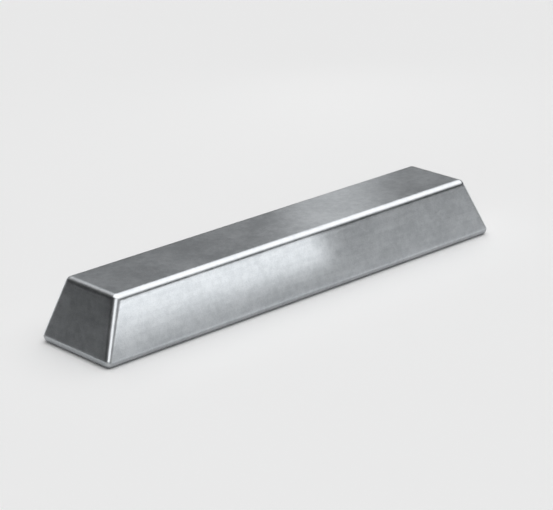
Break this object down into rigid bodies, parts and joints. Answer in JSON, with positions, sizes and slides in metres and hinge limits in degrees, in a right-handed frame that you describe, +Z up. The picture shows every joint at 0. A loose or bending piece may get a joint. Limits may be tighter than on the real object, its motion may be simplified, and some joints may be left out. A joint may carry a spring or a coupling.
{
  "type": "aluminium ingot",
  "caption": "Long trapezoidal bar of cast primary aluminium with drafted sides and ends and rounded edges, for stacking and remelting.",
  "frame": {"origin": "middle of the wide face that the ingot rests on", "axes": "+X along the ingot, +Y across it, +Z up from the wide face to the narrow face"},
  "size_m": [0.7, 0.143, 0.0875],
  "materials": {
    "cast_aluminium": "bare as-cast skin, satin and even, brighter on the rounded edges"
  },
  "bodies": {
    "root": {"ingot": "cast_aluminium"}
  },
  "joints": []
}
